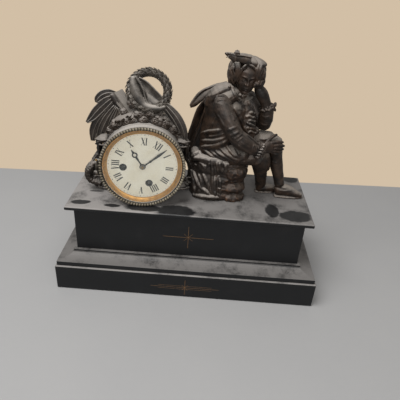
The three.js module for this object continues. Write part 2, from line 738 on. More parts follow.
const STRIKE_PLACE = [
  STRIKE[0] + BARREL_DISTANCE * Math.cos(97 * DEG), STRIKE[1] + BARREL_DISTANCE * Math.sin(97 * DEG),
];
const FLY = [
  STRIKE_PLACE[0] + FLY_DISTANCE * Math.cos(78 * DEG), STRIKE_PLACE[1] + FLY_DISTANCE * Math.sin(78 * DEG),
];
const MOTION_STUD = [
  MOTION_DISTANCE * Math.cos(MOTION_STUD_TURN_DEG * DEG),
  MOTION_DISTANCE * Math.sin(MOTION_STUD_TURN_DEG * DEG),
];
const PALLETS = [0, PALLET_Z];
const HAMMER = (() => {
  const turn = DIAL_TURN_DEG * DEG;
  return [
    HAMMER_X * Math.cos(turn) - HAMMER_Z * Math.sin(turn),
    HAMMER_X * Math.sin(turn) + HAMMER_Z * Math.cos(turn),
  ];
})();
const BARREL_BACK = BARREL_FRONT + BARREL_LENGTH;
const BARREL_TEETH_BACK = BARREL_BACK + BARREL_TEETH_WIDTH;
const INTERMEDIATE_WHEEL_Y = BARREL_TEETH_BACK + 1.4;
const CENTRE_WHEEL_Y = FRONT_PLATE_BACK + 1.4;
const THIRD_WHEEL_Y = FRONT_PLATE_BACK + 9;
const ESCAPE_WHEEL_Y = BACK_PLATE_FRONT - 4;
const PIVOT = 1.7;
const ARBOR_FRONT = FRONT_PLATE_BACK - PIVOT;
const ARBOR_BACK = BACK_PLATE_FRONT + PIVOT;

function boredAt(places) {
  return places.map(([[x, z], radius]) => {
    const geometry = new THREE.CylinderGeometry(radius, radius, 60, radius > 2 ? 12 : 6);
    geometry.rotateY(Math.PI / 6);
    geometry.translate(x, FRONT_PLATE_BACK + PLATE_SPACING / 2, z);
    return solidOf(geometry);
  });
}

function plateBores() {
  const pivot = ARBOR_RADIUS + RUN_GAP;
  return [
    [INTERMEDIATE, pivot], [THIRD, pivot], [ESCAPE, pivot], [STRIKE_PLACE, pivot], [FLY, pivot],
    [CENTRE, CENTRE_ARBOR_RADIUS + RUN_GAP], [PALLETS, pivot], [HAMMER, pivot],
  ];
}

function frontPlate() {
  const plate = disc(FRONT_PLATE_RADIUS, FRONT_PLATE_FRONT, PLATE_THICKNESS, 28);
  const barrelBore = BARREL_ARBOR_RADIUS + RUN_GAP;
  const bores = boredAt([...plateBores(), [GOING, barrelBore], [STRIKE, barrelBore]]);
  const stud = disc(ARBOR_RADIUS, FRONT_PLATE_FRONT - 4.2, 4.6, 8);
  const placed = stud.translate([MOTION_STUD[0], 0, MOTION_STUD[1]]);
  return cutBy(plate, bores).add(placed);
}

function pillarPlaces() {
  return [
    [PILLAR_X, PILLAR_Z], [-PILLAR_X, PILLAR_Z], [LOWER_PILLAR_X, LOWER_PILLAR_Z],
    [-LOWER_PILLAR_X - 3, LOWER_PILLAR_Z + 1],
  ];
}

function backPlate() {
  const plate = disc(PLATE_RADIUS, BACK_PLATE_FRONT, PLATE_THICKNESS, 28);
  const bores = boredAt([
    ...plateBores(), [GOING, BARREL_ARBOR_RADIUS + RUN_GAP], [STRIKE, BARREL_HUB_RADIUS + RUN_GAP],
  ]);
  const pillars = pillarPlaces().map(([x, z]) => {
    const front = FRONT_PLATE_BACK + SEAT_GAP;
    return disc(PILLAR_RADIUS, front, BACK_PLATE_FRONT - front + 0.5, 8).translate([x, 0, z]);
  });
  return joined([cutBy(plate, bores), ...pillars]);
}

// A spring barrel, filled by its mainspring, with teeth behind it and a pipe round its arbor
function barrel(place, meshAngle, pipeTo) {
  const hub = BARREL_ARBOR_RADIUS + RUN_GAP;
  const rear = BARREL_BACK + BARREL_TEETH_WIDTH / 2;
  const body = turned([
    [hub, BARREL_FRONT], [BARREL_RADIUS, BARREL_FRONT], [BARREL_RADIUS, rear],
    [BARREL_HUB_RADIUS, rear], [BARREL_HUB_RADIUS, pipeTo], [hub, pipeTo],
  ], 16);
  const teeth = toothed(BARREL_TEETH, BARREL_MODULE, gapAt(meshAngle, BARREL_TEETH));
  const wheel = sheet(holed(teeth, (hub + BARREL_HUB_RADIUS) / 2), BARREL_BACK, BARREL_TEETH_WIDTH, 3);
  return body.add(wheel).translate([place[0], 0, place[1]]);
}

function windingArbor(place, backTo) {
  const front = FRONT_PLATE_FRONT - 0.6;
  const shaft = disc(BARREL_ARBOR_RADIUS, front, backTo - front, 10);
  const half = WINDING_SQUARE / 2;
  const square = block([-half, DIAL_FRONT + 0.6, -half], [half, front + 0.5, half]);
  return joined([shaft, square]).translate([place[0], 0, place[1]]);
}

function wheelOnArbor(place, parts, from = ARBOR_FRONT, to = ARBOR_BACK, radius = ARBOR_RADIUS) {
  const shaft = arbor(radius, from, to);
  return joined([shaft, ...parts]).translate([place[0], 0, place[1]]);
}

function escapeWheel() {
  const shape = new THREE.Shape();
  for (let i = 0; i < ESCAPE_TEETH; i += 1) {
    const angle = i * 2 * Math.PI / ESCAPE_TEETH;
    const next = angle + 1.7 * Math.PI / ESCAPE_TEETH;
    const tip = [ESCAPE_RADIUS * Math.cos(angle), ESCAPE_RADIUS * Math.sin(angle)];
    const root = [(ESCAPE_RADIUS - 1) * Math.cos(next), (ESCAPE_RADIUS - 1) * Math.sin(next)];
    if (i === 0) shape.moveTo(...tip);
    else shape.lineTo(...tip);
    shape.lineTo(...root);
  }
  shape.closePath();
  const wheel = sheet(shape, ESCAPE_WHEEL_Y, WHEEL_THICKNESS);
  const first = gapAt(bearing(ESCAPE, THIRD), ESCAPE_PINION_TEETH);
  const pinion = sheet(toothed(ESCAPE_PINION_TEETH, THIRD_MODULE, first), THIRD_WHEEL_Y - 1, 3);
  return wheelOnArbor(ESCAPE, [wheel, pinion]);
}

function thirdWheel() {
  const toEscape = bearing(THIRD, ESCAPE);
  const toCentre = bearing(THIRD, CENTRE);
  const wheel = sheet(toothed(THIRD_TEETH, THIRD_MODULE, toEscape), THIRD_WHEEL_Y, WHEEL_THICKNESS);
  const first = gapAt(toCentre, THIRD_PINION_TEETH);
  const pinion = sheet(toothed(THIRD_PINION_TEETH, CENTRE_MODULE, first), CENTRE_WHEEL_Y - 1, 3);
  return wheelOnArbor(THIRD, [wheel, pinion], ARBOR_FRONT, ARBOR_BACK, 0.7);
}

function centreWheel() {
  const toThird = bearing(CENTRE, THIRD);
  const wheel = sheet(toothed(CENTRE_TEETH, CENTRE_MODULE, toThird), CENTRE_WHEEL_Y, WHEEL_THICKNESS);
  const first = gapAt(bearing(CENTRE, INTERMEDIATE), CENTRE_PINION_TEETH);
  const leaves = toothed(CENTRE_PINION_TEETH, INTERMEDIATE_MODULE, first);
  const pinion = sheet(leaves, INTERMEDIATE_WHEEL_Y - 1, 3);
  const front = colletFront() - SEAT_GAP;
  return wheelOnArbor(CENTRE, [wheel, pinion], front, ARBOR_BACK, CENTRE_ARBOR_RADIUS);
}

function intermediateWheel() {
  const toCentre = bearing(INTERMEDIATE, CENTRE);
  const toBarrel = bearing(INTERMEDIATE, GOING);
  const teeth = toothed(INTERMEDIATE_TEETH, INTERMEDIATE_MODULE, toCentre);
  const wheel = sheet(teeth, INTERMEDIATE_WHEEL_Y, WHEEL_THICKNESS);
  const leaves = toothed(INTERMEDIATE_PINION_TEETH, BARREL_MODULE, toBarrel);
  const pinion = sheet(leaves, BARREL_BACK - 0.6, BARREL_TEETH_WIDTH + 1.2);
  return wheelOnArbor(INTERMEDIATE, [wheel, pinion]);
}

function strikeWheel() {
  const toFly = bearing(STRIKE_PLACE, FLY);
  const toBarrel = bearing(STRIKE_PLACE, STRIKE);
  const wheel = sheet(toothed(STRIKE_TEETH, STRIKE_MODULE, toFly), INTERMEDIATE_WHEEL_Y, WHEEL_THICKNESS);
  const leaves = toothed(INTERMEDIATE_PINION_TEETH, BARREL_MODULE, toBarrel);
  const pinion = sheet(leaves, BARREL_BACK - 0.6, BARREL_TEETH_WIDTH + 1.2);
  return wheelOnArbor(STRIKE_PLACE, [wheel, pinion]);
}

function fly() {
  const first = gapAt(bearing(FLY, STRIKE_PLACE), FLY_PINION_TEETH);
  const pinion = sheet(toothed(FLY_PINION_TEETH, STRIKE_MODULE, first), INTERMEDIATE_WHEEL_Y - 1, 3);
  const from = INTERMEDIATE_WHEEL_Y - 1.4 - FLY_LENGTH;
  const vane = block([-FLY_HALF_WIDTH, from, -0.35], [FLY_HALF_WIDTH, from + FLY_LENGTH, 0.35]);
  return wheelOnArbor(FLY, [pinion, vane]);
}

// Motion work, between the front plate and the dial
const CANNON_Y = FRONT_PLATE_FRONT - SEAT_GAP - MOTION_WHEEL_THICKNESS;
const HOUR_WHEEL_Y = CANNON_Y - 0.4 - MOTION_WHEEL_THICKNESS;
const CANNON_MODULE = MOTION_DISTANCE * 2 / (CANNON_TEETH + MINUTE_WHEEL_TEETH);
const HOUR_MODULE = MOTION_DISTANCE * 2 / (MINUTE_PINION_TEETH + HOUR_WHEEL_TEETH);

function hourHandY() {
  return DIAL_FRONT - HAND_PLANE_GAP * 2 - HAND_THICKNESS;
}

function minuteHandY() {
  return hourHandY() - HAND_PLANE_GAP - HAND_THICKNESS;
}

function colletFront() {
  return minuteHandY() - SEAT_GAP - COLLET_THICKNESS;
}

function cannonPinion() {
  const bore = CENTRE_ARBOR_RADIUS + RUN_GAP;
  const toStud = bearing(CENTRE, MOTION_STUD);
  const leaves = holed(toothed(CANNON_TEETH, CANNON_MODULE, toStud), bore);
  const pinion = sheet(leaves, CANNON_Y, MOTION_WHEEL_THICKNESS, 4);
  const front = minuteHandY() - 0.1;
  const pipe = washer(CANNON_PIPE_RADIUS, bore, front, CANNON_Y + 0.5 - front, 10);
  return pinion.add(pipe);
}

function minuteWheel() {
  const bore = ARBOR_RADIUS + RUN_GAP;
  const toCentre = bearing(MOTION_STUD, CENTRE);
  const large = toothed(MINUTE_WHEEL_TEETH, CANNON_MODULE, gapAt(toCentre, MINUTE_WHEEL_TEETH));
  const small = toothed(MINUTE_PINION_TEETH, HOUR_MODULE, gapAt(toCentre, MINUTE_PINION_TEETH));
  const wheel = sheet(holed(large, bore), CANNON_Y, MOTION_WHEEL_THICKNESS, 4);
  const pinion = sheet(holed(small, bore), HOUR_WHEEL_Y, CANNON_Y + 0.3 - HOUR_WHEEL_Y, 4);
  return joined([wheel, pinion]).translate([MOTION_STUD[0], 0, MOTION_STUD[1]]);
}

function hourWheel() {
  const bore = CANNON_PIPE_RADIUS + RUN_GAP;
  const toStud = bearing(CENTRE, MOTION_STUD);
  const teeth = holed(toothed(HOUR_WHEEL_TEETH, HOUR_MODULE, toStud), bore);
  const wheel = sheet(teeth, HOUR_WHEEL_Y, MOTION_WHEEL_THICKNESS, 4);
  const front = hourHandY() - 0.1;
  const pipe = washer(HOUR_PIPE_RADIUS, bore, front, HOUR_WHEEL_Y + 0.5 - front, 12);
  return wheel.add(pipe);
}

// One flat part of a hand, drawn pointing up
function hand(outline, front) {
  const shape = new THREE.Shape(outline.map(([x, z]) => new THREE.Vector2(x, z)));
  return sheet(shape, front, HAND_THICKNESS);
}

function mirrored(half) {
  const other = half.filter(([x]) => x !== 0).map(([x, z]) => [-x, z]).reverse();
  return [...half, ...other];
}

// Turned clockwise to its reading on the dial
function turnedHand(solid, angleDeg) {
  return solid.rotate([0, angleDeg - DIAL_TURN_DEG, 0]);
}

function hourHand() {
  const front = hourHandY();
  const boss = washer(HOUR_BOSS_RADIUS, HOUR_PIPE_RADIUS + RUN_GAP, front, HAND_THICKNESS, 14);
  const near = MOON_DISTANCE - MOON_RADIUS + 0.5;
  const far = MOON_DISTANCE + MOON_RADIUS - 0.5;
  const stem = hand(mirrored([
    [0, HOUR_BOSS_RADIUS - 0.9], [0.9, HOUR_BOSS_RADIUS - 0.6], [0.6, near], [0, near],
  ]), front);
  const moon = washer(MOON_RADIUS, MOON_RADIUS - 1, front, HAND_THICKNESS, 10);
  const tip = hand(mirrored([
    [0, far - 0.3], [1.3, far + 1.2], [0.3, HOUR_HAND_LENGTH], [0, HOUR_HAND_LENGTH],
  ]), front);
  return turnedHand(joined([boss, stem, moon.translate([0, 0, MOON_DISTANCE]), tip]), HOUR_HAND_ANGLE_DEG);
}

function minuteHand() {
  const front = minuteHandY();
  const boss = washer(MINUTE_BOSS_RADIUS, CANNON_PIPE_RADIUS + RUN_GAP, front, HAND_THICKNESS, 12);
  const blade = hand(mirrored([
    [0, MINUTE_BOSS_RADIUS - 0.7], [0.8, MINUTE_BOSS_RADIUS - 0.5], [0.55, 20], [1.3, 26], [0.9, 30],
    [0.25, MINUTE_HAND_LENGTH], [0, MINUTE_HAND_LENGTH],
  ]), front);
  return turnedHand(joined([boss, blade]), MINUTE_HAND_ANGLE_DEG);
}

function handCollet() {
  return washer(COLLET_RADIUS, CENTRE_ARBOR_RADIUS + RUN_GAP, colletFront(), COLLET_THICKNESS, 12);
}

function dial() {
  const plate = disc(DIAL_RADIUS, DIAL_FRONT, DIAL_THICKNESS, DRUM_SIDES);
  const bores = boredAt([
    [CENTRE, HOUR_PIPE_RADIUS + DIAL_CENTRE_CLEARANCE],
    [GOING, WINDING_HOLE_RADIUS],
    [STRIKE, WINDING_HOLE_RADIUS],
  ]);
  return cutBy(plate, bores.map((bore) => bore.translate([0, DIAL_FRONT - FRONT_PLATE_BACK, 0])));
}

// Pallets and crutch. The crutch hangs plumb, so it leans against the turned movement.
function pallets() {
  const bow = new THREE.Shape();
  bow.moveTo(-PALLET_ARM - 0.5, -3.6);
  bow.lineTo(-PALLET_ARM + 0.3, -3.8);
  bow.lineTo(-2.4, -0.6);
  bow.lineTo(2.4, -0.6);
  bow.lineTo(PALLET_ARM - 0.3, -3.8);
  bow.lineTo(PALLET_ARM + 0.5, -3.6);
  bow.lineTo(2, 1.6);
  bow.lineTo(-2, 1.6);
  bow.closePath();
  const anchor = sheet(bow, ESCAPE_WHEEL_Y - 0.2, WHEEL_THICKNESS + 0.4);
  const crutchY = BACK_PLATE_BACK + 1;
  const shaft = arbor(ARBOR_RADIUS, ESCAPE_WHEEL_Y - 2, crutchY + 1);
  const rod = block([-0.7, crutchY, -CRUTCH_LENGTH], [0.7, crutchY + 1, 0]);
  const side = PENDULUM_ROD_RADIUS + RUN_GAP;
  const fork = [1, -1].map((way) => {
    const low = -CRUTCH_LENGTH;
    return block(
      [way > 0 ? side : -side - 0.8, crutchY, low],
      [way > 0 ? side + 0.8 : -side, crutchY + CRUTCH_DEPTH, low + 1.6],
    );
  });
  const cross = block([-side - 0.8, crutchY, -CRUTCH_LENGTH], [side + 0.8, crutchY + 1, 1.6 - CRUTCH_LENGTH]);
  const crutch = joined([rod, cross, ...fork]).rotate([0, -DIAL_TURN_DEG, 0]);
  return joined([anchor, shaft, crutch]).translate([PALLETS[0], 0, PALLETS[1]]);
}

function suspensionCock() {
  const half = COCK_WIDTH / 2;
  const from = BACK_PLATE_BACK + SEAT_GAP;
  const top = PALLET_Z + 8;
  const foot = block([-half, from, PALLET_Z + 2.4], [half, from + 1.6, top]);
  const arm = block([-2.4, from, PALLET_Z + 3.6], [2.4, PENDULUM_Y + 2.2, top - 1.4]);
  const slot = block([-0.5, PENDULUM_Y - 2, PALLET_Z + 3], [0.5, PENDULUM_Y + 3, top]);
  return foot.add(arm).subtract(slot);
}

// Pendulum in the drum's frame. It hangs plumb from the point over the escape wheel.
function pendulumRod() {
  const hang = pendulumPlace();
  const spring = block([-0.2, PENDULUM_Y - 1.2, -1.2], [0.2, PENDULUM_Y + 1.2, 0.8]);
  const hook = block([-0.5, PENDULUM_Y - 1.6, -5.5], [0.5, PENDULUM_Y + 1.6, -1]);
  const rod = post(0, PENDULUM_Y, -PENDULUM_LENGTH - BOB_RADIUS - 1.5, -5, PENDULUM_ROD_RADIUS, 6);
  return joined([spring, hook, rod]).translate([hang.x, 0, hang.z]);
}

function pendulumBob() {
  const hang = pendulumPlace();
  const half = BOB_THICKNESS / 2;
  const lens = turned([[0, -half], [BOB_RADIUS * 0.6, -half * 0.8], [BOB_RADIUS, -0.6], [BOB_RADIUS, 0.6],
    [BOB_RADIUS * 0.6, half * 0.8], [0, half]], 16);
  const bore = post(0, 0, -BOB_RADIUS * 2, BOB_RADIUS * 2, PENDULUM_ROD_RADIUS + RUN_GAP, 6);
  return lens.subtract(bore).translate([hang.x, PENDULUM_Y, hang.z - PENDULUM_LENGTH]);
}

function countWheel() {
  const shape = new THREE.Shape();
  let total = 0;
  const strokes = [1, 2, 3, 4, 5, 6, 7, 8, 9, 10, 11, 12];
  const sum = 90;
  strokes.forEach((count) => {
    const start = total / sum * 2 * Math.PI;
    total += count + 1;
    const end = total / sum * 2 * Math.PI;
    const notch = 0.62 / sum * 2 * Math.PI;
    const inner = COUNT_WHEEL_RADIUS - COUNT_NOTCH_DEPTH;
    const steps = Math.max(1, Math.round(count / 3));
    for (let i = 0; i <= steps; i += 1) {
      const angle = start + notch + (end - start - notch * 2) * i / steps;
      const p = [COUNT_WHEEL_RADIUS * Math.cos(angle), COUNT_WHEEL_RADIUS * Math.sin(angle)];
      if (start === 0 && i === 0) shape.moveTo(...p);
      else shape.lineTo(...p);
    }
    shape.lineTo(inner * Math.cos(end - notch), inner * Math.sin(end - notch));
    shape.lineTo(inner * Math.cos(end + notch), inner * Math.sin(end + notch));
  });
  shape.closePath();
  const from = BACK_PLATE_BACK + 0.6;
  const wheel = sheet(holed(shape, BARREL_HUB_RADIUS + SEAT_GAP), from, COUNT_WHEEL_THICKNESS, 6);
  return wheel.translate([STRIKE[0], 0, STRIKE[1]]);
}

// Bell work, in the drum's frame
function bellStand() {
  const from = BACK_PLATE_BACK + SEAT_GAP;
  const crown = BELL_FRONT + BELL_DEPTH;
  const shoulder = crown - BELL_WALL - SEAT_GAP;
  const nut = crown + SEAT_GAP;
  const end = nut + BELL_NUT_THICKNESS;
  const r = BELL_POST_RADIUS;
  const profile = [
    [0, from], [r + 2.2, from], [r + 2.2, from + 1.4], [r + 1, from + 1.4], [r + 1, shoulder], [r, shoulder],
    [r, nut], [BELL_NUT_RADIUS, nut], [BELL_NUT_RADIUS, end],
    [r * 0.8, end], [r * 0.8, end + 1.4], [0, end + 1.4],
  ];
  return solidOf(new THREE.LatheGeometry(profile.map(([x, y]) => new THREE.Vector2(x, y)), 8));
}

function bell() {
  const crown = BELL_FRONT + BELL_DEPTH;
  const bore = BELL_POST_RADIUS + RUN_GAP;
  const r = BELL_RADIUS;
  const w = BELL_WALL;
  return turned([
    [r - w, BELL_FRONT], [r, BELL_FRONT], [r * 0.94, BELL_FRONT + BELL_DEPTH * 0.5],
    [r * 0.66, crown - BELL_DEPTH * 0.08], [bore, crown], [bore, crown - w],
    [r * 0.66 - w * 0.4, crown - BELL_DEPTH * 0.08 - w], [r * 0.94 - w, BELL_FRONT + BELL_DEPTH * 0.46],
  ], 24);
}

function hammer() {
  const strikeY = BELL_FRONT + BELL_DEPTH * 0.25;
  const shaft = disc(ARBOR_RADIUS, ARBOR_FRONT, strikeY + 1.6 - ARBOR_FRONT, 10);
  const arm = block([-0.9, strikeY - 0.8, 0], [0.9, strikeY + 0.8, HAMMER_ARM]);
  const half = HAMMER_HEAD_LENGTH / 2;
  const head = new THREE.CylinderGeometry(HAMMER_HEAD_RADIUS, HAMMER_HEAD_RADIUS, HAMMER_HEAD_LENGTH, 10);
  head.rotateZ(Math.PI / 2);
  head.translate(-half + HAMMER_HEAD_RADIUS, strikeY, HAMMER_ARM);
  return joined([shaft, arm, solidOf(head)]).translate([HAMMER_X, 0, HAMMER_Z]);
}

function addMovement(drum) {
  const turnedGroup = new THREE.Group();
  turnedGroup.rotation.y = DIAL_TURN_DEG * DEG;
  drum.add(turnedGroup);
  const add = (name, solid, look) => piece(turnedGroup, name, solid, look);
  add('dial', dial(), ENAMEL);
  add('front_plate', frontPlate(), BRASS);
  add('back_plate', backPlate(), BRASS);
  add('going_barrel', barrel(GOING, bearing(GOING, INTERMEDIATE), BACK_PLATE_FRONT - 1), BRASS);
  add('going_arbor', windingArbor(GOING, ARBOR_BACK), STEEL);
  add('strike_barrel', barrel(STRIKE, bearing(STRIKE, STRIKE_PLACE), BACK_PLATE_BACK + 1.4), BRASS);
  add('strike_arbor', windingArbor(STRIKE, BACK_PLATE_BACK + 1.4), STEEL);
  add('count_wheel', countWheel(), BRASS);
  add('intermediate_wheel', intermediateWheel(), BRASS);
  add('centre_wheel', centreWheel(), BRASS);
  add('third_wheel', thirdWheel(), BRASS);
  add('escape_wheel', escapeWheel(), BRASS);
  add('strike_wheel', strikeWheel(), BRASS);
  add('fly', fly(), STEEL);
  add('cannon_pinion', cannonPinion(), STEEL);
  add('minute_wheel', minuteWheel(), BRASS);
  add('hour_wheel', hourWheel(), BRASS);
  add('hour_hand', hourHand(), BLUED);
  add('minute_hand', minuteHand(), BLUED);
  add('hand_collet', handCollet(), BLUED);
  add('pallets', pallets(), STEEL);
  add('suspension_cock', suspensionCock(), BRASS);
  piece(drum, 'pendulum_rod', pendulumRod(), STEEL);
  piece(drum, 'pendulum_bob', pendulumBob(), BRASS);
  piece(drum, 'bell_stand', bellStand(), STEEL);
  piece(drum, 'bell', bell(), BELL_METAL);
  piece(drum, 'hammer', hammer(), STEEL);
}

// Trophy, in the case's frame. Its stations are written for a drum whose top stands at TROPHY_SEAT.

function onDrum(solid) {
  return solid.translate([0, 0, DRUM_TOP - TROPHY_SEAT]);
}

const WREATH_CENTRE = new THREE.Vector3(5.5, 0, 143);
const WREATH_ALONG = new THREE.Vector3(0.868, -0.248, -0.429).normalize();
const WREATH_UP = new THREE.Vector3(0.496, 0.434, 0.751).normalize();

function wreath(swell = 0) {
  const steps = WREATH_LEAVES * 2;
  const geometry = new THREE.TorusGeometry(1, 0.2, 6, steps);
  const points = geometry.attributes.position;
  const out = WREATH_ALONG.clone().cross(WREATH_UP).normalize();
  for (let i = 0; i < points.count; i += 1) {
    const x = points.getX(i);
    const z = points.getY(i);
    const angle = Math.atan2(z, x);
    const fat = Math.round(angle / (2 * Math.PI) * steps + steps) % 2 ? 0.82 : 1.1;
    const across = (Math.hypot(x, z) - 1) / 0.2 * (WREATH_RADIUS * fat + swell);
    const thick = points.getZ(i) / 0.2 * (WREATH_RADIUS * fat * 0.8 + swell);
    const p = WREATH_CENTRE.clone();
    p.addScaledVector(WREATH_ALONG, (WREATH_LONG + across) * Math.cos(angle));
    p.addScaledVector(WREATH_UP, (WREATH_SHORT + across) * Math.sin(angle));
    p.addScaledVector(out, thick);
    points.setXYZ(i, p.x, p.y, p.z);
  }
  return onDrum(solidOf(geometry));
}

const BOOK_CORNER = new THREE.Vector3(-36, 0, 140);
const BOOK_DOWN = new THREE.Vector3(21, -10, -25).normalize();
const BOOK_ACROSS = new THREE.Vector3(13, 15, -7);

function book(swell = 0) {
  const n = BOOK_DOWN.clone().cross(BOOK_ACROSS).normalize();
  const across = n.clone().cross(BOOK_DOWN).normalize();
  const basis = new THREE.Matrix4().makeBasis(BOOK_DOWN, across, n);
  const leaf = (length, width, low, high, shift) => {
    const geometry = new THREE.BoxGeometry(length + swell * 2, width + swell * 2, high - low + swell * 2);
    geometry.translate(BOOK_LENGTH / 2, BOOK_WIDTH / 2 + shift, (low + high) / 2 - BOOK_THICKNESS);
    geometry.applyMatrix4(basis);
    geometry.translate(...BOOK_CORNER.toArray());
    return solidOf(geometry);
  };
  const inner = BOOK_SQUARE * 2;
  return onDrum(joined([
    leaf(BOOK_LENGTH, BOOK_WIDTH, 0, BOOK_COVER, 0),
    leaf(BOOK_LENGTH - inner, BOOK_WIDTH - inner, BOOK_COVER / 2, BOOK_THICKNESS - BOOK_COVER / 2, 0),
    leaf(BOOK_LENGTH, BOOK_WIDTH, BOOK_THICKNESS - BOOK_COVER, BOOK_THICKNESS, 0),
  ]));
}

function palmLeft(swell = 0) {
  const leaf = (tip, half) => {
    const root = [-39, 3, 128];
    const middle = [(root[0] + tip[0]) / 2 - 5, (root[1] + tip[1]) / 2, (root[2] + tip[2]) / 2 + 5];
    return bar([
      [...root, 3, 2.4], [...middle, half, 2.4], [...tip, half * 0.35, 1.4],
    ], [-0.3, -0.5, 1], 5, swell);
  };
  const stem = bar([[-30, 4, 122, 5, 5], [-38, 4, 132, 5.5, 5], [-43, 3, 141, 4, 3.6]], [1, 0, 0], 6, swell);
  return onDrum(joined([
    stem, leaf([-60, 3, 134], 7), leaf([-70, 1, 111], 8), leaf([-69, 3, 93], 8), leaf([-65, 5, 74], 8),
    leaf([-54, 4, 86], 8),
  ]));
}

function palmRight(swell = 0) {
  return onDrum(bar([
    [24, 0, 134, 3.4, 2.2], [33, -7, 126, 5, 2.4], [43, -14, 116, 6, 2.6], [51, -18, 104, 5.6, 2.6],
    [56, -19, 92, 4, 2.2],
  ], [1, -0.3, 0.7], 8, swell));
}

function garland(swell = 0) {
  const rose = (x, z, r) => egg([x, -16, z], [r, r * 0.9, r * 0.75], swell, 0, 7, 4);
  const mound = bar([
    [-40, -2, 97, 13, 8], [-22, -3, 106, 15, 11], [0, -4, 110, 15, 12],
    [20, -4, 107, 15, 11], [38, -4, 98, 13, 8],
  ], [0, 1, 0], 8, swell);
  return onDrum(joined([
    mound, rose(-34, 103, 7.5), rose(-20, 109, 7), rose(-7, 112, 6.5), rose(6, 113, 6.5), rose(18, 110, 7),
    rose(31, 105, 7.5),
    egg([-30, 3, 112], [10, 9, 12], swell, 0, 7, 4),
    egg([14, 2, 118], [14, 9, 8], swell, 0, 7, 4),
  ]));
}

function parchment(swell = 0) {
  const path = (dy, dz, r) => bar([
    [-13, -2 + dy, 147 + dz, r * 0.8, r], [6, -4 + dy, 138 + dz, r, r], [26, -8 + dy, 127 + dz, r * 0.8, r],
  ], [0, 1, 0], 8, swell);
  if (swell) return onDrum(path(0, 0, 12.5));
  return onDrum(path(0, 0, 12.5).subtract(path(-5, 5, 11.4)));
}

function addTrophy(group) {
  const drum = drumSpace();
  const g = CAST_GAP;
  const foot = scrollFoot(-1, g).add(sideStrap(-1, g));
  const rightStrap = sideStrap(1, g);
  const add = (name, solid, cutters, look) => {
    piece(group, name, largest(cutBy(solid, cutters)), look, CAST);
  };
  add('rose_garland', garland(), [drum, foot, rightStrap], DUSTY_BRONZE);
  add('book', book(), [garland(g)], DUSTY_BRONZE);
  add('laurel_wreath', wreath(), [garland(g), book(g)], BRONZE);
  add('palm_left', palmLeft(), [drum, garland(g), book(g), wreath(g), foot], BRONZE);
  add('parchment', parchment(), [garland(g), book(g), wreath(g), palmLeft(g)], BRONZE);
  add('palm_right', palmRight(), [drum, garland(g), wreath(g), parchment(g), book(g)], BRONZE);
}

// Figure. Its frame is the slab's top: X and Y as the base, Z from the slab up.

const BODY_SIDE = [0.616, 0.788, 0];
const HIP_RIGHT = [38, -12, 62];
const KNEE_RIGHT = [82, -13, 66];
const ANKLE_RIGHT = [97, 13, 21];
const TOE_RIGHT = [126, 15, 5];
const HIP_LEFT = [40, 14, 68];
const KNEE_LEFT = [106.5, 4, 84];
const ANKLE_LEFT = [123, 4, 25];
const TOE_LEFT = [156, 2, 5.2];
const SHOULDER_RIGHT = [30, -24, 140];
const ELBOW_RIGHT = [54, -36, 100];
const WRIST_RIGHT = [85, -21, 82];
const SHOULDER_LEFT = [66, 20, 138];
const ELBOW_LEFT = [90.5, 7, 106];
const WRIST_LEFT = [89, -2, 134];
const TEMPLE = [72, -8, 160];
const HEAD = [58, -4, 172];

function torso(swell = 0) {
  const trunk = bar([
    [29, 0, 60, 20, 17], [28, 1, 82, 15, 13], [32, -1, 101, 18, 14],
    [38, -4, 119, 20, 14], [43, -5, 133, 17, 12], [47, -5, 142, 9, 8],
  ], BODY_SIDE, 9, swell);
  const shoulders = bar([
    [32, -22, 141, 9, 8], [46, -3, 144, 10, 8], [64, 20, 139, 9, 8],
  ], [0.788, -0.616, 0], 7, swell);
  const skirt = bar([
    [22, 1, 76, 17, 13], [36, -1, 73, 24, 15], [54, -4, 71, 25, 15], [73, -7, 70, 24, 13],
  ], BODY_SIDE, 9, swell);
  return joined([trunk, shoulders, skirt]);
}

function leg(hip, knee, ankle, toe, heelBack, swell = 0) {
  const thigh = bar([[...hip, THIGH_RADIUS], [...knee, KNEE_RADIUS]], [0, 1, 0], 7, swell);
  const calf = [
    knee[0] * 0.62 + ankle[0] * 0.38 - 2, knee[1] * 0.62 + ankle[1] * 0.38, knee[2] * 0.62 + ankle[2] * 0.38,
  ];
  const shin = bar([
    [...knee, KNEE_RADIUS], [...calf, CALF_RADIUS], [...ankle, ANKLE_RADIUS],
    [ankle[0] + 4, ankle[1], 11, ANKLE_RADIUS],
  ], [0, 1, 0], 7, swell);
  const sole = SEAT_GAP + 4.2;
  const heel = [ankle[0] + heelBack, ankle[1] + 1, 7];
  const foot = bar([
    [...heel, ANKLE_RADIUS, 6.8], [(heel[0] + toe[0]) / 2, toe[1], 8, 6.6, 7.4], [toe[0], toe[1], sole, 5, 4],
  ], [0, 1, 0], 7, swell);
  return joined([thigh, shin, foot]);
}

function rightLeg(swell = 0) {
  return leg(HIP_RIGHT, KNEE_RIGHT, ANKLE_RIGHT, TOE_RIGHT, -2, swell);
}

function leftLeg(swell = 0) {
  return leg(HIP_LEFT, KNEE_LEFT, ANKLE_LEFT, TOE_LEFT, -1, swell);
}

function armBars(s, e, w, wide, swell) {
  const half = (a, b, t) => a.map((value, i) => value * (1 - t) + b[i] * t);
  const upper = bar([
    [...s, SLEEVE_RADIUS], [...half(s, e, 0.45), SLEEVE_RADIUS * 1.1], [...e, ELBOW_RADIUS],
  ], [1, 0, 0], 7, swell);
  const lower = bar([
    [...e, ELBOW_RADIUS], [...half(e, w, 0.7), WRIST_RADIUS],
    [...half(e, w, 0.86), CUFF_RADIUS], [...w, CUFF_RADIUS],
  ], wide, 7, swell);
  return [upper, lower];
}

